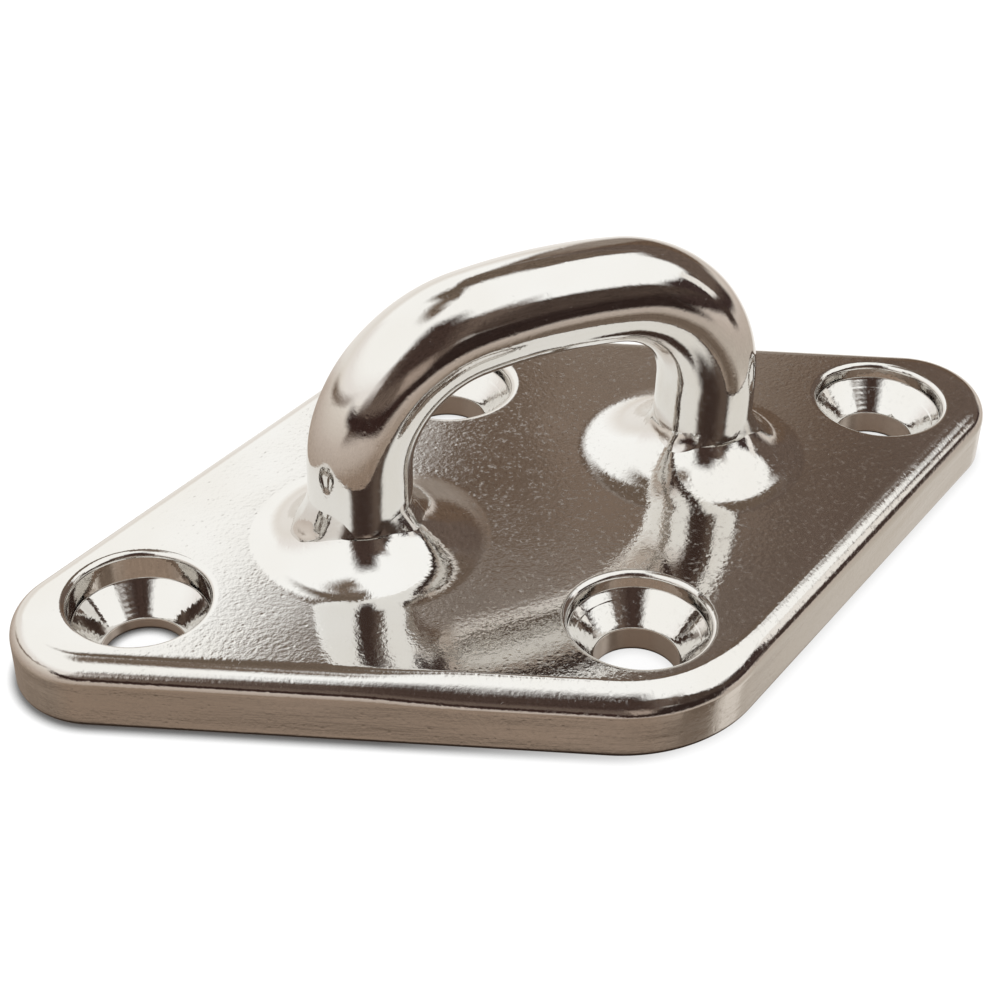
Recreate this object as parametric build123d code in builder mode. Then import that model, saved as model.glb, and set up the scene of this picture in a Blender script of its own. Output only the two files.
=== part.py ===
from build123d import *
import math
import os

# Diamond pad eye: a solid cast base plate with four countersunk screw holes,
# a bent round-bar bow whose legs pass through the plate, and four welds.
# Millimetres. Origin at the centre of the underside, +Z out of the deck,
# +X along the long diagonal, which is also the plane of the bow.

# Base plate
PLATE_THICKNESS = 5.8
TIP_CENTRE_X = 35.8
TIP_RADIUS = 6.55
SIDE_CENTRE_Y = 13.4
SIDE_RADIUS = 12.2
TOP_EDGE_RADIUS = 1.9
BOTTOM_EDGE_RADIUS = 0.4

# Countersunk screw holes
LONG_HOLE_SPACING = 65.4
SHORT_HOLE_SPACING = 34.5
SCREW_BORE_RADIUS = 3.2
SCREW_HEAD_RADIUS = 5.5
SCREW_HEAD_WALL = 1.35
DEEP_HEAD_WALL = 2.45
HOLE_RIM_RADIUS = 0.3

# Bow
BAR_RADIUS = 4.0
LEG_X = 14.95
LEG_TOP_Z = PLATE_THICKNESS + 6.85
SHOULDER_RADIUS = 10.35
CROWN_RADIUS = 43.0

# Rounded bosses round the legs
BOSS_HEIGHT = 2.1
BOSS_LAND_RADIUS = 4.95
BOSS_SHOULDER_RADIUS = 3.0
BOSS_SLOPE = 42

# Welds
BEAD_HEIGHT = 2.4
BEAD_HOLLOW = 0.25
ROOT_WELD_DEPTH = 1.2
ROOT_WELD_RADIUS = 5.2

# Derived sizes
TOP_Z = PLATE_THICKNESS
BOSS_TOP_Z = TOP_Z + BOSS_HEIGHT
SLOPE_SINE = math.sin(math.radians(BOSS_SLOPE))
SLOPE_DROP = 1 - math.cos(math.radians(BOSS_SLOPE))
BOSS_BLEND_RADIUS = BOSS_HEIGHT / SLOPE_DROP - BOSS_SHOULDER_RADIUS
BOSS_FOOT_RADIUS = BOSS_LAND_RADIUS + (BOSS_SHOULDER_RADIUS + BOSS_BLEND_RADIUS) * SLOPE_SINE
CONE_DEPTH = SCREW_HEAD_RADIUS - SCREW_BORE_RADIUS
SHOULDER_X = LEG_X - SHOULDER_RADIUS
SHOULDER_TURN = math.degrees(math.acos(SHOULDER_X / (CROWN_RADIUS - SHOULDER_RADIUS)))
CROWN_DROP = (CROWN_RADIUS - SHOULDER_RADIUS) * math.sin(math.radians(SHOULDER_TURN))
CROWN_CENTRE_Z = LEG_TOP_Z - CROWN_DROP

SCREW_POINTS = [
    (LONG_HOLE_SPACING / 2, 0),
    (0, SHORT_HOLE_SPACING / 2),
    (0, -SHORT_HOLE_SPACING / 2),
]
DEEP_SCREW_POINTS = [(-LONG_HOLE_SPACING / 2, 0)]
LEG_POINTS = [(LEG_X, 0), (-LEG_X, 0)]

os.makedirs("parts", exist_ok=True)

# One cast boss about its own axis: a flat land, a rounded shoulder and a hollow blend to the plate
with BuildPart() as boss:
    with BuildSketch(Plane.XZ):
        with BuildLine():
            Line((0, TOP_Z - 1), (BOSS_FOOT_RADIUS, TOP_Z - 1))
            Line((BOSS_FOOT_RADIUS, TOP_Z - 1), (BOSS_FOOT_RADIUS, TOP_Z))
            CenterArc(
                (BOSS_FOOT_RADIUS, TOP_Z + BOSS_BLEND_RADIUS), BOSS_BLEND_RADIUS, 270, -BOSS_SLOPE
            )
            CenterArc(
                (BOSS_LAND_RADIUS, BOSS_TOP_Z - BOSS_SHOULDER_RADIUS),
                BOSS_SHOULDER_RADIUS,
                90 - BOSS_SLOPE,
                BOSS_SLOPE,
            )
            Line((BOSS_LAND_RADIUS, BOSS_TOP_Z), (0, BOSS_TOP_Z))
            Line((0, BOSS_TOP_Z), (0, TOP_Z - 1))
        make_face()
    revolve(axis=Axis.Z)

# The room taken by a countersunk screw, about its own axis: usual, then deeper
screw_rooms = []
for head_wall in (SCREW_HEAD_WALL, DEEP_HEAD_WALL):
    cone_top_z = TOP_Z - head_wall
    with BuildPart() as screw_room:
        with BuildSketch(Plane.XZ):
            with BuildLine():
                bore_low = (SCREW_BORE_RADIUS, -1)
                bore_high = (SCREW_BORE_RADIUS, cone_top_z - CONE_DEPTH)
                cone_high = (SCREW_HEAD_RADIUS, cone_top_z)
                rim_low = (SCREW_HEAD_RADIUS, TOP_Z - HOLE_RIM_RADIUS)
                rim_high = (SCREW_HEAD_RADIUS + HOLE_RIM_RADIUS, TOP_Z)
                mouth = (SCREW_HEAD_RADIUS + HOLE_RIM_RADIUS, TOP_Z + 1)
                Line((0, -1), bore_low)
                Line(bore_low, bore_high)
                Line(bore_high, cone_high)
                Line(cone_high, rim_low)
                TangentArc(rim_low, rim_high, tangent=(0, 1))
                Line(rim_high, mouth)
                Line(mouth, (0, TOP_Z + 1))
                Line((0, TOP_Z + 1), (0, -1))
            make_face()
        revolve(axis=Axis.Z)
    screw_rooms.append(screw_room.part)

# Base plate: rounded diamond with a rolled top edge
with BuildPart() as base_plate:
    with BuildSketch():
        with Locations((TIP_CENTRE_X, 0), (-TIP_CENTRE_X, 0)):
            Circle(TIP_RADIUS)
        with Locations((0, SIDE_CENTRE_Y), (0, -SIDE_CENTRE_Y)):
            Circle(SIDE_RADIUS)
        make_hull()
    extrude(amount=PLATE_THICKNESS)
    fillet(base_plate.faces().sort_by(Axis.Z)[-1].edges(), TOP_EDGE_RADIUS)
    fillet(base_plate.faces().sort_by(Axis.Z)[0].edges(), BOTTOM_EDGE_RADIUS)
    with Locations(*LEG_POINTS):
        add(boss.part)
    with Locations(*SCREW_POINTS):
        add(screw_rooms[0], mode=Mode.SUBTRACT)
    with Locations(*DEEP_SCREW_POINTS):
        add(screw_rooms[1], mode=Mode.SUBTRACT)

    # Through holes for the bow legs
    with BuildSketch():
        with Locations(*LEG_POINTS):
            Circle(BAR_RADIUS)
    extrude(amount=BOSS_TOP_Z + 1, mode=Mode.SUBTRACT)

    # Weld recesses at the underside
    with Locations(*[(x, y, ROOT_WELD_DEPTH / 2) for x, y in LEG_POINTS]):
        Cone(ROOT_WELD_RADIUS, BAR_RADIUS, ROOT_WELD_DEPTH, mode=Mode.SUBTRACT)
base_plate.part.label = "base_plate"
export_step(base_plate.part, "parts/base_plate.step")

# Bow: one bar bent at the shoulders, with a nearly flat crown
with BuildPart() as eye_bow:
    with BuildLine(Plane.XZ) as bow_path:
        Line((-LEG_X, ROOT_WELD_DEPTH), (-LEG_X, LEG_TOP_Z))
        CenterArc((-SHOULDER_X, LEG_TOP_Z), SHOULDER_RADIUS, 180, -SHOULDER_TURN)
        CenterArc(
            (0, CROWN_CENTRE_Z), CROWN_RADIUS, 180 - SHOULDER_TURN, 2 * SHOULDER_TURN - 180
        )
        CenterArc((SHOULDER_X, LEG_TOP_Z), SHOULDER_RADIUS, SHOULDER_TURN, -SHOULDER_TURN)
        Line((LEG_X, LEG_TOP_Z), (LEG_X, ROOT_WELD_DEPTH))
    with BuildSketch(Plane((-LEG_X, 0, ROOT_WELD_DEPTH))):
        Circle(BAR_RADIUS)
    sweep(path=bow_path.wire())
eye_bow.part.label = "eye_bow"
export_step(eye_bow.part, "parts/eye_bow.step")

# Hollow weld fillets where each leg leaves its boss, and welds filling the underside recesses
for side, leg_x in (("left", -LEG_X), ("right", LEG_X)):
    with BuildPart() as weld_bead:
        with BuildSketch(Plane.XZ):
            with BuildLine():
                inner_low = (BAR_RADIUS, BOSS_TOP_Z)
                outer_low = (BOSS_LAND_RADIUS, BOSS_TOP_Z)
                inner_high = (BAR_RADIUS, BOSS_TOP_Z + BEAD_HEIGHT)
                Line(inner_low, outer_low)
                SagittaArc(outer_low, inner_high, BEAD_HOLLOW)
                Line(inner_high, inner_low)
            make_face()
        revolve(axis=Axis.Z)
    weld_bead.part.locate(Location((leg_x, 0, 0)))
    weld_bead.part.label = "weld_bead_" + side
    export_step(weld_bead.part, "parts/weld_bead_" + side + ".step")

    with BuildPart() as root_weld:
        with Locations((leg_x, 0, ROOT_WELD_DEPTH / 2)):
            Cone(ROOT_WELD_RADIUS, BAR_RADIUS, ROOT_WELD_DEPTH)
    root_weld.part.label = "root_weld_" + side
    export_step(root_weld.part, "parts/root_weld_" + side + ".step")
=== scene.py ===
"""Looks of the diamond pad eye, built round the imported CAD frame.

Metres, +Z up, +X along the long diagonal of the plate and the plane of the bow.
Shapes are worked out in millimetres and turned into metres by new_piece.
"""
import math

import bpy
from mathutils import Matrix, Vector, noise
from mathutils.geometry import delaunay_2d_cdt


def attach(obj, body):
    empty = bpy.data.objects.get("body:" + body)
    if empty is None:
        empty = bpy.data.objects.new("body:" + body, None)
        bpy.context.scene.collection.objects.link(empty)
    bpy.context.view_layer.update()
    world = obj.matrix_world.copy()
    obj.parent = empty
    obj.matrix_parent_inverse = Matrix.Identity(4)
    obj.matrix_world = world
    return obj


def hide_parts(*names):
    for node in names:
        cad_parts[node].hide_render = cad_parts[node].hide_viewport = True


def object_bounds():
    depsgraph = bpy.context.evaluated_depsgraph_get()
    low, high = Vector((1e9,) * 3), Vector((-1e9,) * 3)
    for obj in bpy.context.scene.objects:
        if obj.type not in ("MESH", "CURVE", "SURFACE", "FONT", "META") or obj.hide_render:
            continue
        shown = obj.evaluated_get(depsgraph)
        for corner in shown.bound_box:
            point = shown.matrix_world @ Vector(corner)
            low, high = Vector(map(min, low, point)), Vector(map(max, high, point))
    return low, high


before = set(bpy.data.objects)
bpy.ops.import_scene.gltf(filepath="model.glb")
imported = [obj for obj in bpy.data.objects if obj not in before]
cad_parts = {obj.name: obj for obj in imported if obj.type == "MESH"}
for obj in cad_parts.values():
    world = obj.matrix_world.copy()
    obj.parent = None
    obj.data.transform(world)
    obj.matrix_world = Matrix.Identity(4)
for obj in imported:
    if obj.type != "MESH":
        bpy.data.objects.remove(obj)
cad_low, cad_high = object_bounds()

MM = 0.001

# ---------------------------------------------------------------- dimensions, in millimetres
PLATE_THICKNESS = 5.8
TIP_CENTRE_X = 35.8
TIP_RADIUS = 6.55
SIDE_CENTRE_Y = 13.4
SIDE_RADIUS = 12.2
BOTTOM_EDGE_RADIUS = 0.55

# The rolled top edge, as arcs from the side wall up to the flat: tilt of the surface in degrees
# where each arc ends, then its radius on an even roll and where hand polishing has faceted it
ROLL_ARCS = ((42, 1.9, 2.05), (27, 1.9, 4.5), (0, 1.9, 0.85))
ROLL_STEP = 3
# Where along X the facet comes in and where it has gone again
FACET_IN = (-22.0, -14.0)
FACET_OUT = (3.0, 8.0)

HOLE_X = 32.7
HOLE_Y = 17.25
BORE_RADIUS = 3.2
HEAD_RADIUS = 5.3
HEAD_WALL = 1.35
DEEP_HEAD_WALL = 2.45
CONE_DEPTH = 2.3
# Rings left in the cone by the countersink
CONE_RINGS = 7
CONE_RING_HEIGHT = 0.0035
# Round of a hole's rim, and of the rim of the +Y hole, which polishing has worn most
RIM_ROUND = 0.5
WORN_RIM_ROUND = 0.8
# Round where the head's wall meets the cone: inwards from the wall, then up, in shares of the round
HEAD_FOOT_ROUND = 0.14 * math.tan(math.pi / 8)
HEAD_FOOT = ((0.0, 2.0), (0.0, 1.0), (0.2, 0.1), (0.75, -0.75))
# Round where the cone meets the bore: outwards from the bore, then up, in shares of the round
BORE_MOUTH_ROUND = 0.12
BORE_MOUTH = ((0.7, 0.7), (0.3, 0.22), (0.06, -0.3), (0.0, -1.0))
# Where the bore breaks out of the underside: outwards from the bore, then height
BORE_EDGE = ((0.0, 0.3), (0.0, 0.18), (0.05, 0.06), (0.18, 0.0), (0.3, 0.0))

BAR_RADIUS = 4.0
LEG_X = 14.95
LEG_TOP = 12.65
SHOULDER_RADIUS = 10.35
CROWN_RADIUS = 43.0
LEG_END = 1.2
LEG_CLEARANCE = 0.02
ROOT_WELD_RADIUS = 5.2
# How far the bar has been squeezed on the outside of its bends, as a share of its radius
BEND_FLATTEN = 0.012

# A boss flares out like a trumpet: one sweep down from the bar, then a wider blend into the flat,
# whose foot is shifted towards the middle of the plate
BOSS_HEIGHT = 2.88
BOSS_TOP_RADIUS = 4.16
BOSS_TOP_SLOPE = math.radians(56)
BOSS_MEET_RADIUS = 6.1
BOSS_SLOPE = math.radians(33)
SWEEP_RUN = math.sin(BOSS_TOP_SLOPE) - math.sin(BOSS_SLOPE)
SWEEP_RISE = math.cos(BOSS_SLOPE) - math.cos(BOSS_TOP_SLOPE)
BOSS_SWEEP_RADIUS = (BOSS_MEET_RADIUS - BOSS_TOP_RADIUS) / SWEEP_RUN
BOSS_MEET_HEIGHT = BOSS_HEIGHT - BOSS_SWEEP_RADIUS * SWEEP_RISE
BOSS_BLEND_RADIUS = BOSS_MEET_HEIGHT / (1 - math.cos(BOSS_SLOPE))
BOSS_FOOT_RADIUS = BOSS_MEET_RADIUS + BOSS_BLEND_RADIUS * math.sin(BOSS_SLOPE)
BOSS_FOOT_SHIFT = 0.8
# The groove between bar and boss: outwards from the bar, then depth as a share of CREASE_DEPTH
CREASE_DEPTH = 0.3
CREASE = ((0.1, 0.25), (0.05, 0.6), (0.02, 1.0))

# A bead's toe is an oval on the boss and its top lies just inside the bar
BEAD_TOE_WIDE = 5.6
BEAD_TOE_NARROW = 3.95
BEAD_TOP_RADIUS = 3.86
# Power of the drop by which the bead's side swings out from its top to its toe
BEAD_SWEEP = 1.8
# How far the toe is sunk into the boss
BEAD_SINK = 0.12
# How far the side tucks in under itself at the toe, and over which shares of the drop
BEAD_UNDERCUT = 0.2
BEAD_TUCK = (0.86, 1.06)
# How much the toe wanders and how lumpy the side is, as shares of the width, and how quickly
# either changes round the bead, or down it
BEAD_WANDER = 0.12
BEAD_WANDER_RATE = 1.6
BEAD_LUMPS = 0.09
BEAD_LUMP_RATE = 4.0
BEAD_LUMP_RATE_DOWN = 2.5
# The bead is closed off by two rings inside the bar: how far inside, and heights above the boss
BEAD_CLOSING_INSET = 0.16
BEAD_CLOSING_RISES = (1.2, -0.4)

# How deep hand polishing has worn each face out of true, with its lumps per millimetre
TOP_WAVE = 0.012
TOP_LUMPS = 0.14
SIDE_WAVE = 0.03
SIDE_LUMPS = 0.1
SIDE_LUMPS_UP = 0.55
BAR_WAVE = 0.022
BAR_LUMPS = 0.25
BAR_FINE_LUMPS = 0.8
BAR_FINE_SHARE = 0.25
# How far down from the top of the plate the wear counts as wear of the top
POLISH_REACH = 2.0
# Mean depth of the wear as a share of its swing, so that it mostly takes metal away
WEAR_MEAN = 0.6

# ---------------------------------------------------------------- mesh density
ROUND_STEPS = 144
BAR_STEPS = 96
TIP_STEPS = 22
EDGE_STEPS = 34
BOTTOM_STEPS = 6
WALL_STEPS = 8
RIM_STEPS = 12
CONE_RING_STEPS = 8
BLEND_STEPS = 18
SWEEP_STEPS = 8
LEG_STEPS = 16
SHOULDER_STEPS = 48
CROWN_STEPS = 12
BEAD_STEPS = 24
BEAD_AROUND = 192
# The top sheet's points stand in staggered rows: their pitch in millimetres, then the distance
# between rows and the room kept clear along the sheet's edges as shares of it
GRID_PITCH = 0.9
GRID_ROW = 0.866
GRID_CLEAR = 0.55
EDGE_BULGE = 1e-5
CUT_TOLERANCE = 1e-6
# Narrow band of flat beside each round edge, which keeps the shading of the flat even
SUPPORT = 0.12
SHARP_ANGLE = math.radians(50)


# ---------------------------------------------------------------- shapes in the plane
def arc(cx, cy, radius, start, stop, steps):
    """Points on an arc, angles in degrees, both ends included."""
    points = []
    for i in range(steps + 1):
        a = math.radians(start + (stop - start) * i / steps)
        points.append((cx + radius * math.cos(a), cy + radius * math.sin(a)))
    return points


def smooth(value, low, high):
    """0 below low, 1 above high, and an even blend between."""
    t = max(0.0, min(1.0, (value - low) / (high - low)))
    return t * t * (3 - 2 * t)


def inside(point, loop):
    """Whether a point is inside a closed loop."""
    x, y = point
    hit = False
    for (x0, y0), (x1, y1) in zip(loop, loop[1:] + loop[:1]):
        if (y0 > y) != (y1 > y) and x < x0 + (y - y0) * (x1 - x0) / (y1 - y0):
            hit = not hit
    return hit


def on_sheet(point, outer, inner):
    """Whether a point is inside the outer loop and outside every inner one."""
    return inside(point, outer) and not any(inside(point, loop) for loop in inner)


def grid_points(outer, inner, pitch):
    """Points spread evenly between an outer loop and inner loops, clear of every loop."""
    solid = [p for loop in [outer] + inner for p in loop]
    points = []
    rows = int(2 * (SIDE_CENTRE_Y + SIDE_RADIUS) / (pitch * GRID_ROW)) + 1
    columns = int(2 * (TIP_CENTRE_X + TIP_RADIUS) / pitch) + 1
    clear = pitch * GRID_CLEAR
    for row in range(rows):
        y = -SIDE_CENTRE_Y - SIDE_RADIUS + row * pitch * GRID_ROW
        for column in range(columns):
            x = -TIP_CENTRE_X - TIP_RADIUS + (column + 0.5 * (row % 2)) * pitch
            if not on_sheet((x, y), outer, inner):
                continue
            near = min((x - p[0]) ** 2 + (y - p[1]) ** 2 for p in solid)
            if near > clear * clear:
                points.append(Vector((x, y)))
    return points


# ---------------------------------------------------------------- shells
class Shell:
    """Collects rings of points and the faces between them, each with a finish."""

    def __init__(self):
        self.verts = []
        self.faces = []
        self.finishes = []

    def ring(self, points):
        """Adds points and gives their indices."""
        first = len(self.verts)
        self.verts += points
        return list(range(first, first + len(points)))

    def face(self, corners, finish=0):
        """Adds one face, corners anticlockwise from outside."""
        self.faces.append(corners)
        self.finishes.append(finish)

    def bridge(self, low, high, finish=0):
        """Quads from one ring to the next, seen anticlockwise from outside."""
        count = len(low)
        for i in range(count):
            j = (i + 1) % count
            self.face((low[i], low[j], high[j], high[i]), finish)

    def stack(self, rings, finish=0):
        """Bridges each ring to the next one."""
        for low, high in zip(rings, rings[1:]):
            self.bridge(low, high, finish)

    def sheet(self, z, outer, inner, pitch, up, finish=0):
        """Flat sheet between an outer ring and inner rings, cut into triangles.

        pitch: distance between the points spread over the sheet, or 0 for none.
        up: whether the sheet faces up.
        """
        ids = []
        edges = []
        for loop in [outer] + inner:
            base = len(ids)
            ids += loop
            edges += [(base + i, base + (i + 1) % len(loop)) for i in range(len(loop))]
        outer_xy = [self.verts[i][:2] for i in outer]
        inner_xy = [[self.verts[i][:2] for i in loop] for loop in inner]
        flat = [Vector(self.verts[i][:2]) for i in ids]
        if pitch:
            spread = grid_points(outer_xy, inner_xy, pitch)
            ids += self.ring([(point[0], point[1], z) for point in spread])
            flat += spread
        # A straight edge is cut up as if it bulged a hair, so that no sliver lies along it
        bulged = [point * (1 - EDGE_BULGE * point.length_squared) for point in flat]
        _, _, tris, origin, _, _ = delaunay_2d_cdt(bulged, edges, [], 0, CUT_TOLERANCE)
        coords = [flat[src[0]] for src in origin]
        remap = [ids[src[0]] for src in origin]
        for tri in tris:
            cx = sum(coords[i][0] for i in tri) / 3
            cy = sum(coords[i][1] for i in tri) / 3
            if on_sheet((cx, cy), outer_xy, inner_xy):
                a, b, c = [remap[i] for i in tri]
                self.face((a, b, c) if up else (a, c, b), finish)


def circle_ring(cx, cy, radius, z, steps=ROUND_STEPS):
    """Points on a level circle."""
    points = []
    for i in range(steps):
        a = 2 * math.pi * i / steps
        points.append((cx + radius * math.cos(a), cy + radius * math.sin(a), z))
    return points


def new_piece(name, shell, verts=None):
    """A smooth mesh object from a shell's points in millimetres, or from others in their place."""
    mesh = bpy.data.meshes.new(name)
    points = [(x * MM, y * MM, z * MM) for x, y, z in verts or shell.verts]
    mesh.from_pydata(points, [], shell.faces)
    mesh.polygons.foreach_set("material_index", shell.finishes)
    mesh.polygons.foreach_set("use_smooth", [True] * len(mesh.polygons))
    mesh.validate()
    mesh.update()
    mesh.set_sharp_from_angle(angle=SHARP_ANGLE)
    piece = bpy.data.objects.new(name, mesh)
    bpy.context.scene.collection.objects.link(piece)
    return piece


# ---------------------------------------------------------------- plate
def plate_outline():
    """Closed list of (point, outward normal) round the diamond, anticlockwise."""
    reach = math.hypot(TIP_CENTRE_X, SIDE_CENTRE_Y)
    tilt = math.acos((TIP_RADIUS - SIDE_RADIUS) / reach)
    join = math.atan2(SIDE_CENTRE_Y, -TIP_CENTRE_X) - tilt
    n = (math.cos(join), math.sin(join))
    start = (TIP_CENTRE_X + TIP_RADIUS * n[0], TIP_RADIUS * n[1])
    end = (SIDE_RADIUS * n[0], SIDE_CENTRE_Y + SIDE_RADIUS * n[1])
    quarter = []
    for i in range(TIP_STEPS + 1):
        a = join * i / TIP_STEPS
        c, s = math.cos(a), math.sin(a)
        quarter.append(((TIP_CENTRE_X + TIP_RADIUS * c, TIP_RADIUS * s), (c, s)))
    for i in range(1, EDGE_STEPS):
        t = i / EDGE_STEPS
        point = (start[0] + (end[0] - start[0]) * t, start[1] + (end[1] - start[1]) * t)
        quarter.append((point, n))
    for i in range(TIP_STEPS + 1):
        a = join + (math.pi / 2 - join) * i / TIP_STEPS
        c, s = math.cos(a), math.sin(a)
        quarter.append(((SIDE_RADIUS * c, SIDE_CENTRE_Y + SIDE_RADIUS * s), (c, s)))
    upper = quarter + [((-p[0], p[1]), (-n[0], n[1])) for p, n in reversed(quarter[:-1])]
    return upper + [((p[0], -p[1]), (n[0], -n[1])) for p, n in reversed(upper[1:-1])]


OUTLINE = plate_outline()
# Centre of each screw hole, depth of the head's wall and round of its rim
HOLES = (
    (HOLE_X, 0.0, HEAD_WALL, RIM_ROUND),
    (0.0, HOLE_Y, HEAD_WALL, WORN_RIM_ROUND),
    (-HOLE_X, 0.0, DEEP_HEAD_WALL, RIM_ROUND),
    (0.0, -HOLE_Y, HEAD_WALL, RIM_ROUND),
)
# The plate's finishes, in the order of its materials
MIRROR, WALL, MACHINED = range(3)


def outline_ring(inset, z):
    """Points at one level all round the plate, inset from its outline."""
    return [(p[0] - inset * n[0], p[1] - inset * n[1], z) for p, n in OUTLINE]


def boss_surface(radius):
    """Height of the boss above the plate top, at a radius on its upper sweep."""
    run = BOSS_MEET_RADIUS - max(radius, BOSS_TOP_RADIUS)
    lean = math.sin(BOSS_SLOPE) + run / BOSS_SWEEP_RADIUS
    return BOSS_MEET_HEIGHT + BOSS_SWEEP_RADIUS * (math.cos(BOSS_SLOPE) - math.sqrt(1 - lean**2))


def boss_profile():
    """(radius, height above the plate top) from the flat up to the bar."""
    foot, blend = BOSS_FOOT_RADIUS, BOSS_BLEND_RADIUS
    points = [(foot + SUPPORT, 0.0)]
    points += arc(foot, blend, blend, 270, 270 - math.degrees(BOSS_SLOPE), BLEND_STEPS)
    for i in range(1, SWEEP_STEPS + 1):
        radius = BOSS_MEET_RADIUS + (BOSS_TOP_RADIUS - BOSS_MEET_RADIUS) * i / SWEEP_STEPS
        points.append((radius, boss_surface(radius)))
    for out, sink in CREASE:
        points.append((BAR_RADIUS + out, BOSS_HEIGHT - sink * CREASE_DEPTH))
    return points


def hole_profile(wall, rim):
    """(radius, height) from the plate top down to the underside."""
    top = PLATE_THICKNESS
    cone_top = top - wall
    cone_low = cone_top - CONE_DEPTH
    points = [(HEAD_RADIUS + rim + SUPPORT, top)]
    points += arc(HEAD_RADIUS + rim, top - rim, rim, 90, 180, RIM_STEPS)
    for share_in, share_up in HEAD_FOOT:
        radius = HEAD_RADIUS - HEAD_FOOT_ROUND * share_in
        points.append((radius, cone_top + HEAD_FOOT_ROUND * share_up))
    # The cone's own points start and end clear of the rounds at its top and at its foot
    cone_steps = CONE_RING_STEPS * CONE_RINGS
    for i in range(3, cone_steps - 2):
        t = i / cone_steps
        ripple = CONE_RING_HEIGHT * t * t * math.sin(2 * math.pi * CONE_RINGS * t)
        radius = HEAD_RADIUS - (HEAD_RADIUS - BORE_RADIUS) * t
        points.append((radius, cone_top - CONE_DEPTH * t + ripple))
    for share_out, share_up in BORE_MOUTH:
        radius = BORE_RADIUS + BORE_MOUTH_ROUND * share_out
        points.append((radius, cone_low + BORE_MOUTH_ROUND * share_up))
    return points + [(BORE_RADIUS + out, height) for out, height in BORE_EDGE]


def edge_facet(point):
    """How far polishing has faceted the top edge at a point of the outline, 0 to 1.

    Only the stretch along the -Y corner is faceted.
    """
    x, y = point
    return smooth(x, *FACET_IN) * (1 - smooth(x, *FACET_OUT)) if y < 0 else 0.0


def rolled_edge(facet):
    """(inset, height) of the rolled top edge, from the side wall up, for a facet from 0 to 1."""
    drop = 0.0
    arcs = []
    start = 90
    for stop, even, faceted in ROLL_ARCS:
        radius = even + (faceted - even) * facet
        arcs.append((start, stop, radius))
        drop += radius * (math.cos(math.radians(stop)) - math.cos(math.radians(start)))
        start = stop
    inset = 0.0
    height = PLATE_THICKNESS - drop
    points = [(inset, height)]
    for start, stop, radius in arcs:
        for degrees in range(start - ROLL_STEP, stop - 1, -ROLL_STEP):
            now = math.radians(degrees)
            before = math.radians(degrees + ROLL_STEP)
            inset += radius * (math.sin(before) - math.sin(now))
            height += radius * (math.cos(now) - math.cos(before))
            points.append((inset, height))
    return points + [(inset + SUPPORT, PLATE_THICKNESS)]


def add_sides(shell):
    """Adds the side wall and both edges; gives the rings of the underside's and the top's edge."""
    low_rings = [shell.ring(outline_ring(BOTTOM_EDGE_RADIUS + SUPPORT, 0.0))]
    round_off = BOTTOM_EDGE_RADIUS
    for inset, z in arc(round_off, round_off, round_off, 270, 180, BOTTOM_STEPS):
        low_rings.append(shell.ring(outline_ring(inset, z)))
    rolls = [rolled_edge(edge_facet(p)) for p, _ in OUTLINE]
    for i in range(1, WALL_STEPS):
        ring = []
        for (p, _), roll in zip(OUTLINE, rolls):
            rise = (roll[0][1] - BOTTOM_EDGE_RADIUS) * i / WALL_STEPS
            ring.append((*p, BOTTOM_EDGE_RADIUS + rise))
        low_rings.append(shell.ring(ring))
    high_rings = []
    for step in range(len(rolls[0])):
        ring = []
        for (p, n), roll in zip(OUTLINE, rolls):
            inset, z = roll[step]
            ring.append((p[0] - inset * n[0], p[1] - inset * n[1], z))
        high_rings.append(shell.ring(ring))
    shell.stack(low_rings + high_rings[:1], WALL)
    shell.stack(high_rings, MIRROR)
    return low_rings[0], high_rings[-1]


def add_hole(shell, cx, cy, wall, rim):
    """Adds a screw hole; gives its rings in the underside and in the top."""
    profile = hole_profile(wall, rim)
    stack = [shell.ring(circle_ring(cx, cy, r, z)) for r, z in profile]
    mouth = [r for r, _ in profile].index(BORE_RADIUS)
    shell.stack(stack[: mouth + 1], MIRROR)
    shell.stack(stack[mouth:], MACHINED)
    return stack[-1], stack[0]


def add_boss(shell, cx):
    """Adds a boss and the room for its leg; gives its rings in the underside and in the top."""
    stack = []
    for r, z in boss_profile():
        shift = BOSS_FOOT_SHIFT * smooth(r, BOSS_TOP_RADIUS, BOSS_FOOT_RADIUS)
        shifted = cx - math.copysign(shift, cx)
        stack.append(shell.ring(circle_ring(shifted, 0.0, r, PLATE_THICKNESS + z)))
    room = ROOT_WELD_RADIUS + LEG_CLEARANCE
    for r, z in ((BAR_RADIUS + LEG_CLEARANCE, LEG_END), (room, 0.0), (room + SUPPORT, 0.0)):
        stack.append(shell.ring(circle_ring(cx, 0.0, r, z)))
    shell.stack(stack)
    return stack[-1], stack[0]


def polished_off(point):
    """A point of the plate after hand polishing, which takes off a little, unevenly."""
    x, y, z = point
    if z > PLATE_THICKNESS - POLISH_REACH:
        slow = noise.noise(Vector((x, y, 0.0)) * TOP_LUMPS)
        z -= TOP_WAVE * (WEAR_MEAN - slow)
    elif z > BOTTOM_EDGE_RADIUS:
        slow = noise.noise(Vector((x * SIDE_LUMPS, y * SIDE_LUMPS, z * SIDE_LUMPS_UP)))
        shrink = 1 - SIDE_WAVE * (WEAR_MEAN - slow) / math.hypot(x, y)
        x, y = x * shrink, y * shrink
    return x, y, z


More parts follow.
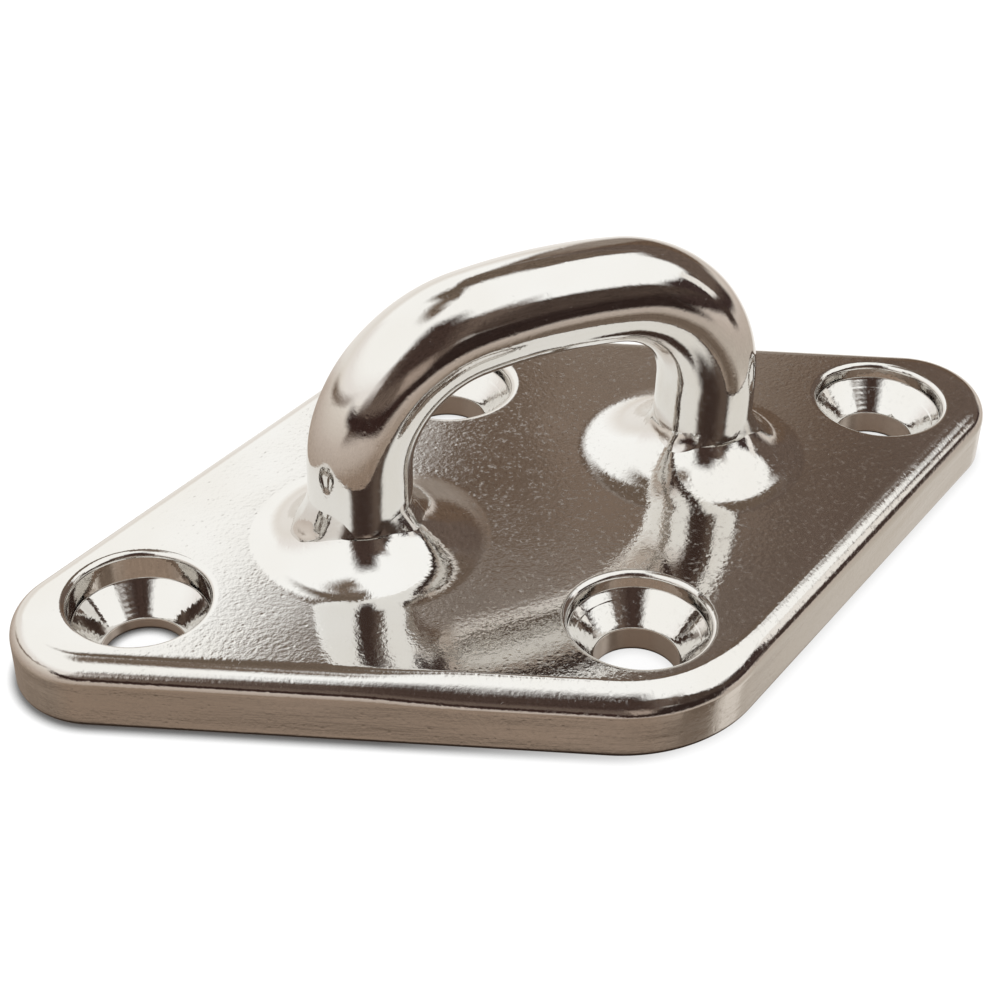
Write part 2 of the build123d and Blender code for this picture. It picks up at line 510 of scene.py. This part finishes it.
def build_plate():
    """The cast plate: top sheet, rolled edge, side wall, underside, bosses and holes."""
    shell = Shell()
    under_edge, top_edge = add_sides(shell)
    openings = [add_hole(shell, *hole) for hole in HOLES]
    openings += [add_boss(shell, cx) for cx in (-LEG_X, LEG_X)]
    under_loops = [under for under, _ in openings]
    top_loops = [top for _, top in openings]
    shell.sheet(PLATE_THICKNESS, top_edge, top_loops, GRID_PITCH, up=True)
    shell.sheet(0.0, under_edge, under_loops, 0, up=False, finish=MACHINED)
    return new_piece("plate_casting", shell, [polished_off(point) for point in shell.verts])


# ---------------------------------------------------------------- bow
def bow_path():
    """(x, z, direction of the outside) along the bar's centre line, left foot to right."""
    inner_x = LEG_X - SHOULDER_RADIUS
    turn = math.acos(inner_x / (CROWN_RADIUS - SHOULDER_RADIUS))
    crown_z = LEG_TOP - (CROWN_RADIUS - SHOULDER_RADIUS) * math.sin(turn)
    half = []
    for i in range(LEG_STEPS):
        half.append((-LEG_X, LEG_END + (LEG_TOP - LEG_END) * i / LEG_STEPS, math.pi))
    for i in range(SHOULDER_STEPS):
        a = math.pi - turn * i / SHOULDER_STEPS
        x = -inner_x + SHOULDER_RADIUS * math.cos(a)
        half.append((x, LEG_TOP + SHOULDER_RADIUS * math.sin(a), a))
    for i in range(CROWN_STEPS + 1):
        a = math.pi - turn - (math.pi / 2 - turn) * i / CROWN_STEPS
        half.append((CROWN_RADIUS * math.cos(a), crown_z + CROWN_RADIUS * math.sin(a), a))
    return half + [(-x, z, math.pi - a) for x, z, a in reversed(half[:-1])]


def build_bow():
    """The bent bar, a hair out of round where it bends."""
    shell = Shell()
    rings = []
    for x, z, a in bow_path():
        bend = max(0.0, (z - LEG_TOP)) / (cad_high[2] / MM - LEG_TOP)
        points = []
        for i in range(BAR_STEPS):
            t = 2 * math.pi * i / BAR_STEPS
            out = BAR_RADIUS * (1 - BEND_FLATTEN * bend * (0.5 + 0.5 * math.cos(t)))
            across, along = math.cos(t) * math.cos(a), math.cos(t) * math.sin(a)
            spot = Vector((x + out * across, out * math.sin(t), z + out * along))
            fine = BAR_FINE_SHARE * noise.noise(spot * BAR_FINE_LUMPS)
            out -= BAR_WAVE * (WEAR_MEAN - noise.noise(spot * BAR_LUMPS) - fine)
            points.append((x + out * across, out * math.sin(t), z + out * along))
        rings.append(shell.ring(points))
    shell.stack(rings)
    shell.face(tuple(reversed(rings[0])))
    shell.face(tuple(rings[-1]))
    return new_piece("bow_bar", shell)


# ---------------------------------------------------------------- weld beads
def build_bead(name, cx, seed, heights, twist):
    """Dressed weld round a leg: flush fore and aft, swept out in the plane of the bow.

    heights: of the sweep on the -X side and on the +X side.
    twist: degrees that the oval is turned anticlockwise from the plane of the bow.
    """
    shell = Shell()
    rings = []
    turned = math.radians(twist)
    toe_reach = BEAD_TOE_WIDE - BEAD_TOE_NARROW
    rate, fine_rate = BEAD_WANDER_RATE, BEAD_LUMP_RATE
    for k in range(BEAD_STEPS + 1):
        drop = 1 - k / BEAD_STEPS
        reach = drop**BEAD_SWEEP
        tuck = smooth(drop, *BEAD_TUCK)
        points = []
        for i in range(BEAD_AROUND):
            a = 2 * math.pi * i / BEAD_AROUND
            c, s = math.cos(a - turned), math.sin(a - turned)
            wander = noise.noise(Vector((c * rate + seed, s * rate, seed)))
            spot = Vector((c * fine_rate + seed, s * fine_rate, BEAD_LUMP_RATE_DOWN * drop))
            lumpy = noise.noise(spot)
            oval = 1 / math.hypot(c / BEAD_TOE_WIDE, s / BEAD_TOE_NARROW)
            spread = (oval - BEAD_TOE_NARROW) / toe_reach
            toe = BEAD_TOE_NARROW + toe_reach * spread * (1 + BEAD_WANDER * wander)
            r = BEAD_TOP_RADIUS + (toe - BEAD_TOP_RADIUS) * reach * (1 + BEAD_LUMPS * lumpy)
            r -= BEAD_UNDERCUT * tuck * spread
            height = heights[0] + (heights[1] - heights[0]) * (0.5 + 0.5 * c)
            rise = boss_surface(toe) - BEAD_SINK + height * (1 - drop)
            points.append((cx + r * math.cos(a), r * math.sin(a), PLATE_THICKNESS + rise))
        rings.append(shell.ring(points))
    inset = BEAD_TOP_RADIUS - BEAD_CLOSING_INSET
    for rise in BEAD_CLOSING_RISES:
        z = PLATE_THICKNESS + BOSS_HEIGHT + rise
        rings.append(shell.ring(circle_ring(cx, 0.0, inset, z, BEAD_AROUND)))
    shell.stack(rings + rings[:1])
    return new_piece(name, shell)


# ---------------------------------------------------------------- materials
STEEL_TINT = (0.76, 0.75, 0.735)
MACHINED_TINT = (0.50, 0.46, 0.43)
GROUND_TINT = (0.55, 0.53, 0.51)

# Noise textures on the steel: cells per metre, detail, roughness and distortion
SMUDGES = (110.0, 4.0, 0.6, 0.6)
HAIRLINES = (260.0, 3.0, 0.7, 0.0)
DOTS = (2700.0, 2.0, 0.55, 0.0)
CLOUDS = (60.0, 3.0, 0.6, 0.0)
PEEL = (2600.0, 2.0, 0.6, 0.0)
PEEL_PATCHES = (240.0, 2.0, 0.5, 0.0)
SLOW_WAVES = (170.0, 1.0, 0.4, 0.0)
BELT_MARKS = (190.0, 3.0, 0.6, 0.0)
# How marks are drawn out into lines: turn about each axis, then how closely they lie along it
HAIRLINES_DRAWN = ((0.0, 0.0, 0.5), (1.0, 22.0, 1.0))
BELT_DRAWN = ((0.0, 0.0, 0.0), (1.0, 1.0, 9.0))
# From which level of its noise a mark shows, and at which it is at full strength
SMUDGE_SHOWS = (0.35, 0.75)
HAIRLINE_SHOWS = (0.66, 0.78)
DOT_SHOWS = (0.54, 0.7)
CLOUD_SHOWS = (0.3, 0.7)
PATCH_SHOWS = (0.35, 0.65)
# Roughness that marks add
SMUDGE_DULL = 0.03
HAIRLINE_DULL = 0.05
# Share of its depth that the orange peel keeps between its patches
PEEL_LEFT = 0.5
# The tint where the polish is clear, and under a cloud
CLEAR_TINT = (1.03, 1.03, 1.03)
CLOUD_TINT = (0.97, 0.95, 0.92)
# Pits: cells per metre, share of the cells that have none, and radius in cells
PIT_SCALE = 2400.0
PITLESS = 0.4
PIT_RADIUS = 0.55
MICRON = 1e-6
# Where along X the dull dots of the plate begin and where they are at their full strength
DOTS_FADE = (-20 * MM, -4 * MM)

# A Mix node's sockets for colours
MIX_FIRST = 6
MIX_SECOND = 7
MIX_RESULT = 2


class Nodes:
    """Shorthand for wiring one node tree."""

    def __init__(self, tree):
        self.tree = tree
        tree.nodes.clear()

    def put(self, node, key, value):
        """Links a socket into an input, or sets the input to a plain value."""
        socket = node.inputs[key]
        if isinstance(value, bpy.types.NodeSocket):
            self.tree.links.new(value, socket)
        else:
            socket.default_value = value

    def add(self, kind, **inputs):
        """A new node with some of its inputs put in by name."""
        node = self.tree.nodes.new(kind)
        for key, value in inputs.items():
            self.put(node, key, value)
        return node

    def fill(self, node, *values):
        """Puts values into a node's inputs in order and gives its first output."""
        for key, value in enumerate(values):
            self.put(node, key, value)
        return node.outputs[0]

    def math(self, operation, a, b=0.0, c=0.0, clamp=False):
        """The result of one sum on up to three values."""
        node = self.add("ShaderNodeMath")
        node.operation = operation
        node.use_clamp = clamp
        return self.fill(node, a, b, c)

    def ramp(self, value, low, high, out_low, out_high, eased=False):
        """A value from low to high, mapped to a value from out_low to out_high."""
        node = self.add("ShaderNodeMapRange")
        if eased:
            node.interpolation_type = "SMOOTHSTEP"
        return self.fill(node, value, low, high, out_low, out_high)

    def mix(self, factor, first, second):
        """A colour between two colours."""
        node = self.add("ShaderNodeMix")
        node.data_type = "RGBA"
        for key, value in ((0, factor), (MIX_FIRST, first), (MIX_SECOND, second)):
            self.put(node, key, value)
        return node.outputs[MIX_RESULT]

    def field(self, place, texture, drawn=None):
        """A noise texture, drawn out into lines if asked."""
        if drawn:
            turn, closeness = drawn
            place = self.add("ShaderNodeMapping", Vector=place, Rotation=turn, Scale=closeness)
            place = place.outputs[0]
        scale, detail, roughness, distortion = texture
        node = self.add("ShaderNodeTexNoise", Vector=place, Scale=scale, Detail=detail)
        self.put(node, "Roughness", roughness)
        self.put(node, "Distortion", distortion)
        return node.outputs[0]


def polished_steel(
    name, tint, roughness, speckle, grain, pits, wave, streaks=0.0, clean_left=False
):
    """Stainless steel, from a mirror polish to a ground finish.

    speckle: extra roughness of the fine dull dots that the polish has not reached.
    Heights in microns: grain of the fine orange peel, depth of the pits left by the casting,
    wave of the slow unevenness left by hand polishing, and level streaks left by a belt.
    clean_left: whether the dull dots fade out towards the -X end.
    """
    material = bpy.data.materials.new(name)
    material.use_nodes = True
    n = Nodes(material.node_tree)
    out = n.add("ShaderNodeOutputMaterial")
    steel = n.add("ShaderNodeBsdfPrincipled", Metallic=1.0)
    n.put(out, "Surface", steel.outputs[0])
    place = n.add("ShaderNodeTexCoord").outputs["Object"]

    smudges = n.field(place, SMUDGES)
    dull = n.ramp(smudges, *SMUDGE_SHOWS, roughness, roughness + SMUDGE_DULL)
    hairlines = n.field(place, HAIRLINES, HAIRLINES_DRAWN)
    scratch = n.ramp(hairlines, *HAIRLINE_SHOWS, 0.0, 1.0)
    dots = n.ramp(n.field(place, DOTS), *DOT_SHOWS, 0.0, speckle)
    if clean_left:
        along = n.add("ShaderNodeSeparateXYZ", Vector=place).outputs[0]
        dots = n.math("MULTIPLY", dots, n.ramp(along, *DOTS_FADE, 0.0, 1.0))
    scratched = n.math("MULTIPLY_ADD", scratch, HAIRLINE_DULL, dull)
    n.put(steel, "Roughness", n.math("ADD", dots, scratched))

    clear, clouded = [
        (*[base * share for base, share in zip(tint, shares)], 1.0)
        for shares in (CLEAR_TINT, CLOUD_TINT)
    ]
    cloud = n.ramp(n.field(place, CLOUDS), *CLOUD_SHOWS, 0.0, 1.0)
    n.put(steel, "Base Color", n.mix(cloud, clear, clouded))

    patches = n.ramp(n.field(place, PEEL_PATCHES), *PATCH_SHOWS, PEEL_LEFT, 1.0)
    peel = n.math("MULTIPLY", n.field(place, PEEL), patches)
    cells = n.add("ShaderNodeTexVoronoi", Vector=place, Scale=PIT_SCALE).outputs
    chance = n.add("ShaderNodeSeparateColor", Color=cells["Color"]).outputs[0]
    strength = n.ramp(chance, PITLESS, 1.0, 0.0, 1.0)
    dimple = n.ramp(cells["Distance"], 0.0, PIT_RADIUS, -1.0, 0.0, eased=True)
    pitting = n.math("MULTIPLY", dimple, n.math("MULTIPLY", strength, strength))
    slow = n.field(place, SLOW_WAVES)
    belt = n.field(place, BELT_MARKS, BELT_DRAWN)
    normal = None
    for height, microns in ((slow, wave), (belt, streaks), (peel, grain), (pitting, pits)):
        if not microns:
            continue
        bump = n.add("ShaderNodeBump", Strength=1.0, Distance=microns * MICRON, Height=height)
        if normal:
            n.put(bump, "Normal", normal)
        normal = bump.outputs[0]
    n.put(steel, "Normal", normal)
    return material


plate = build_plate()
bow = build_bow()
bead_left = build_bead("weld_ring_left", -LEG_X, seed=3.1, heights=(4.2, 3.0), twist=-14)
bead_right = build_bead("weld_ring_right", LEG_X, seed=8.4, heights=(2.8, 3.2), twist=0)

plate_steel = polished_steel(
    "plate_polished_steel", STEEL_TINT,
    roughness=0.045, speckle=0.2, grain=10.0, pits=5.0, wave=10.0, clean_left=True,
)
wall_steel = polished_steel(
    "plate_belted_steel", STEEL_TINT,
    roughness=0.09, speckle=0.12, grain=10.0, pits=8.0, wave=12.0, streaks=16.0,
)
bore_steel = polished_steel(
    "plate_machined_steel", MACHINED_TINT,
    roughness=0.28, speckle=0.1, grain=10.0, pits=4.0, wave=4.0,
)
bow_steel = polished_steel(
    "bow_polished_steel", STEEL_TINT,
    roughness=0.04, speckle=0.08, grain=4.0, pits=4.0, wave=6.0,
)
bead_steel = polished_steel(
    "bead_buffed_steel", STEEL_TINT,
    roughness=0.06, speckle=0.12, grain=8.0, pits=8.0, wave=10.0,
)
ground_steel = polished_steel(
    "root_ground_steel", GROUND_TINT,
    roughness=0.32, speckle=0.2, grain=14.0, pits=8.0, wave=20.0,
)

for piece, node, slot, materials in (
    (plate, "base_plate", "plate_steel", (plate_steel, wall_steel, bore_steel)),
    (bow, "eye_bow", "bow_steel", (bow_steel,)),
    (bead_left, "weld_bead_left", "weld_steel", (bead_steel,)),
    (bead_right, "weld_bead_right", "weld_steel", (bead_steel,)),
):
    for material in materials:
        piece.data.materials.append(material)
    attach(piece, "root")
    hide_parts(node)
for node in ("root_weld_left", "root_weld_right"):
    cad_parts[node].material_slots[0].material = ground_steel


# ---------------------------------------------------------------- room
def linear(level):
    """Linear light for a display level from 0 to 255, by the sRGB curve."""
    v = level / 255
    return v / 12.92 if v <= 0.04045 else ((v + 0.055) / 1.055) ** 2.4


def tone(red, green, blue):
    """Room light that the steel shows as this display colour."""
    return tuple(linear(c) / t for c, t in zip((red, green, blue), STEEL_TINT)) + (1.0,)


WHITE = tone(243, 242, 238)

# The room behind its cards: height above the horizon in degrees, then colour
BACKDROP = (
    (-90, tone(40, 31, 26)),
    (-58, tone(52, 42, 35)),
    (-47, tone(104, 90, 78)),
    (-32, tone(156, 141, 127)),
    (-14, tone(184, 171, 160)),
    (8, tone(214, 206, 196)),
    (24, WHITE),
    (90, WHITE),
)

# The room seen by the steel, as soft-edged cards. Degrees: heading runs from +Y towards +X, height
# above the horizon; lean shifts a card's heading as height grows, tilt lifts it as heading grows.
# name, heading, half width, height, half height, soft sides, soft ends, lean, tilt, colour
CARDS = (
    ("right_wall", 107, 34, 8, 15, 7, 3, 0.5, 0.0, tone(57, 44, 41)),
    ("right_skirting", 104, 6, -8, 5, 3, 3, 0.0, 0.0, tone(62, 50, 44)),
    ("dark_low", 163, 30, -2.5, 14.5, 6, 3.5, 0.0, 0.0, tone(45, 34, 30)),
    ("dark_corner", 128, 23, 27, 22, 5, 6, -1.4, 0.0, tone(68, 56, 49)),
    ("camera_side", -147, 32, 18, 27, 6, 6, 0.63, 0.0, tone(96, 82, 73)),
    ("camera_streak", -172, 7, 6, 10, 3, 4, -0.27, 0.0, tone(150, 134, 122)),
    ("left_skirting", -140, 37, -4, 5.5, 8, 3, 0.0, 0.3, tone(50, 35, 31)),
    ("left_ledge", -68, 31, 8.5, 3, 12, 2.5, 0.0, -0.22, tone(116, 101, 88)),
    ("far_wall_low", 48, 17, 21, 20, 3, 4, 0.25, 0.0, tone(98, 80, 66)),
    ("far_wall_mid", 63, 24, 51, 12, 3, 4, 0.56, 0.0, tone(100, 86, 74)),
    ("far_wall_right", 89, 23, 23, 20, 4, 6, 0.85, 0.0, tone(94, 80, 71)),
    ("overhead_gap", 13, 19, 70, 15, 8, 6, 0.16, 0.0, tone(98, 85, 73)),
    ("overhead_bar", -73, 60, 77, 7, 17, 6, -0.13, 0.0, tone(108, 94, 82)),
    ("table_near", -147, 42, -36, 9, 16, 5, 0.0, 0.0, tone(136, 118, 103)),
    ("table_right", 110, 37, -33, 13, 22, 9, -0.2, 0.0, tone(180, 171, 160)),
    ("table_dark", 143, 13, -37, 8, 5, 4, 0.0, 0.0, tone(104, 90, 78)),
    ("table_bright", 113, 10, -37, 8, 5, 4, 0.0, 0.0, tone(206, 197, 187)),
    ("left_dim", -75, 59, 19, 4, 3, 11, 0.18, 0.0, tone(224, 218, 213)),
    ("camera_top", -161, 20, 37, 25, 12, 7, 0.05, 0.0, tone(62, 48, 42)),
    ("far_glow", 2, 28, -12, 24, 9, 9, 1.35, 0.0, tone(222, 217, 210)),
    ("right_light", 102.5, 5, 14.5, 10.5, 1.5, 3, 0.0, 0.0, tone(228, 223, 216)),
    ("far_streak", 33, 5, 16, 16, 2, 12, 0.05, 0.0, tone(138, 126, 115)),
)

# How far the dark parts of the room vary round their own tone; the white parts are even
CLUTTER = 0.8
CLUTTER_SQUAT = (1.0, 1.0, 2.2)
CLUTTER_NOISE = (45.0, 4.0, 0.6, 0.0)
CLUTTER_SHOWS = (0.3, 0.7)
# The even white light for every ray but a mirrored one
PLAIN_LIGHT = 1.12


def soft_band(n, distance, half, soft):
    """1 within half a width of the middle and 0 beyond it, with edges blended by soft degrees."""
    away = n.math("ABSOLUTE", distance)
    return n.ramp(away, half - soft, half + soft, 1.0, 0.0, eased=True)


def add_room(n, heading, height):
    """Colour of the room for each direction: the cards laid over the backdrop."""
    base = n.add("ShaderNodeValToRGB")
    elements = base.color_ramp.elements
    while len(elements) < len(BACKDROP):
        elements.new(0.5)
    for element, (degrees, colour) in zip(elements, BACKDROP):
        element.position = (degrees + 90) / 180
        element.color = colour
    n.put(base, "Fac", n.math("MULTIPLY_ADD", height, 1 / 180, 0.5))
    colour = base.outputs[0]
    for name, az, half_width, el, half_height, soft_az, soft_el, lean, tilt, paint in CARDS:
        turned = n.math("MULTIPLY_ADD", height, lean, heading)
        offset = n.math("WRAP", n.math("SUBTRACT", turned, az), -180.0, 180.0)
        rise = n.math("MULTIPLY_ADD", offset, -tilt, n.math("SUBTRACT", height, el))
        across = soft_band(n, offset, half_width, soft_az)
        upright = soft_band(n, rise, half_height, soft_el)
        colour = n.mix(n.math("MULTIPLY", across, upright), colour, paint)
        colour.node.label = name
    return colour


def build_world():
    """The room for mirrored rays, and even white light for all the others."""
    world = bpy.data.worlds.new("studio")
    bpy.context.scene.world = world
    world.use_nodes = True
    n = Nodes(world.node_tree)
    out = n.add("ShaderNodeOutputWorld")
    direction = n.add("ShaderNodeTexCoord").outputs["Generated"]
    split = n.add("ShaderNodeSeparateXYZ", Vector=direction).outputs
    heading = n.math("DEGREES", n.math("ARCTAN2", split[0], split[1]))
    height = n.math("DEGREES", n.math("ARCSINE", split[2]))
    colour = add_room(n, heading, height)
    squat = n.add("ShaderNodeMapping", Vector=direction, Scale=CLUTTER_SQUAT).outputs[0]
    lift = n.ramp(n.field(squat, CLUTTER_NOISE), *CLUTTER_SHOWS, -CLUTTER, CLUTTER)
    green = n.add("ShaderNodeSeparateColor", Color=colour).outputs[1]
    darkness = n.math("SUBTRACT", 1.0, green, clamp=True)
    level = n.math("MULTIPLY_ADD", lift, n.math("MULTIPLY", darkness, darkness), 1.0)
    room = n.add("ShaderNodeBackground", Color=colour, Strength=level)
    plain = n.add("ShaderNodeBackground", Color=(1.0, 1.0, 1.0, 1.0), Strength=PLAIN_LIGHT)
    mirrored = n.add("ShaderNodeLightPath").outputs["Is Glossy Ray"]
    choose = n.add("ShaderNodeMixShader")
    n.put(out, "Surface", n.fill(choose, mirrored, plain.outputs[0], room.outputs[0]))


# ---------------------------------------------------------------- floor
FLOOR_REACH = 3.0
FLOOR_LEVEL = -0.02 * MM
PAPER_GREY = 0.24
PAPER_GLOW = 0.84
# A contact shadow painted into the paper's glow: how far out from the plate it reaches, and the
# shares of open sky at which it is darkest and at which the paper is plain again
PAINTED_SHADOW_REACH = 1.0 * MM
PAINTED_SHADOW_SHOWS = (0.52, 0.97)
# The painted shadow is strong along the -X half and faint along the other, as if the light came
# from +X: where along X it changes, and the glow left in it on either side
CLEARING = (-20 * MM, 0.0)
CLEARING_GLOW = (0.05, 0.85)


def build_floor():
    """White paper glowing evenly, with a painted contact shadow only where the plate stands on it.
    """
    mesh = bpy.data.meshes.new("floor")
    corners = []
    for x, y in ((-1, -1), (1, -1), (1, 1), (-1, 1)):
        corners.append((x * FLOOR_REACH, y * FLOOR_REACH, FLOOR_LEVEL))
    mesh.from_pydata(corners, [], [(0, 1, 2, 3)])
    floor = bpy.data.objects.new("floor", mesh)
    bpy.context.scene.collection.objects.link(floor)
    material = bpy.data.materials.new("floor_paper")
    material.use_nodes = True
    n = Nodes(material.node_tree)
    out = n.add("ShaderNodeOutputMaterial")
    # Painted contact shadow: the paper's glow is dimmed by ambient occlusion close to the plate
    open_sky = n.add("ShaderNodeAmbientOcclusion", Distance=PAINTED_SHADOW_REACH).outputs["AO"]
    place = n.add("ShaderNodeTexCoord").outputs["Object"]
    along = n.add("ShaderNodeSeparateXYZ", Vector=place).outputs[0]
    clearing = n.ramp(along, *CLEARING, *CLEARING_GLOW)
    lit = n.ramp(open_sky, *PAINTED_SHADOW_SHOWS, clearing, 1.0)
    shade = n.add("ShaderNodeCombineColor", Red=lit, Green=lit, Blue=lit)
    paper = n.add("ShaderNodeBsdfDiffuse", Color=(PAPER_GREY, PAPER_GREY, PAPER_GREY, 1.0))
    glow = n.add("ShaderNodeEmission", Color=shade.outputs[0], Strength=PAPER_GLOW)
    both = n.fill(n.add("ShaderNodeAddShader"), paper.outputs[0], glow.outputs[0])
    n.put(out, "Surface", both)
    mesh.materials.append(material)
    floor.visible_glossy = False


build_world()
build_floor()
bpy.context.scene.view_settings.view_transform = "Standard"

# ---------------------------------------------------------------- camera
CAMERA_AT = Vector((-57.43, -111.08, 98.53)) * MM
CAMERA_AIM = Vector((-3.18, 0.0, PLATE_THICKNESS)) * MM
CAMERA_ROLL = math.radians(1.30)
FOCAL_LENGTH = 70.3
SENSOR_WIDTH = 36.0
CLIP_START = 0.005
CLIP_END = 20.0

camera_data = bpy.data.cameras.new("camera")
camera_data.lens = FOCAL_LENGTH
camera_data.sensor_width = SENSOR_WIDTH
camera_data.clip_start = CLIP_START
camera_data.clip_end = CLIP_END
camera = bpy.data.objects.new("camera", camera_data)
bpy.context.scene.collection.objects.link(camera)
look = (CAMERA_AIM - CAMERA_AT).normalized()
right = look.cross(Vector((0, 0, 1))).normalized()
up = right.cross(look)
rolled_right = right * math.cos(CAMERA_ROLL) + up * math.sin(CAMERA_ROLL)
rolled_up = up * math.cos(CAMERA_ROLL) - right * math.sin(CAMERA_ROLL)
turn = Matrix((rolled_right, rolled_up, -look)).transposed().to_4x4()
camera.matrix_world = Matrix.Translation(CAMERA_AT) @ turn
bpy.context.scene.camera = camera
